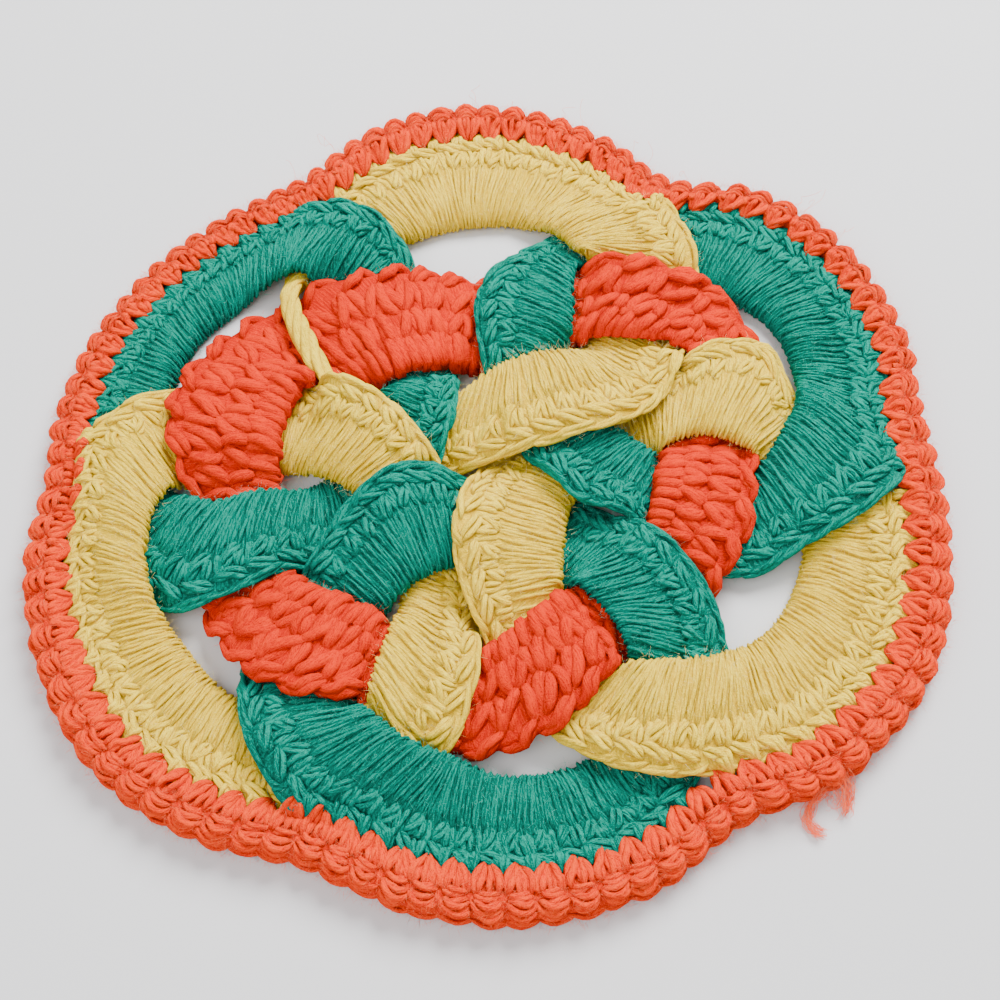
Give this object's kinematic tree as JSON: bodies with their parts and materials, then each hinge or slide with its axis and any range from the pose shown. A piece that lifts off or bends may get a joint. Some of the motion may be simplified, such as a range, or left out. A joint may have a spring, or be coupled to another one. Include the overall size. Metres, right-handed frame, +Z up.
{
  "type": "pot holder",
  "caption": "Round crocheted pot holder of interlaced rings with a scalloped border, lying flat; its rings weave over and under each other round a middle ring.",
  "frame": {"origin": "middle of the foot, on the surface that the pot holder lies on", "axes": "+Z up through the thickness, +Y towards the far side in the picture, +X to the right"},
  "size_m": [0.199, 0.2014, 0.0177],
  "materials": {
    "cream_yarn": "matte woollen yarn",
    "green_yarn": "matte woollen yarn",
    "orange_yarn": "matte woollen yarn",
    "coral_yarn": "matte fuzzy woollen yarn"
  },
  "bodies": {
    "root": {"ring_top_cream": "cream_yarn", "ring_right_green": "green_yarn", "ring_lowright_cream": "cream_yarn", "ring_bottom_green": "green_yarn", "ring_left_cream": "cream_yarn", "ring_topleft_green": "green_yarn", "ring_middle_orange": "orange_yarn", "border_orange": "coral_yarn", "border_yarn_end": "coral_yarn"}
  },
  "joints": []
}
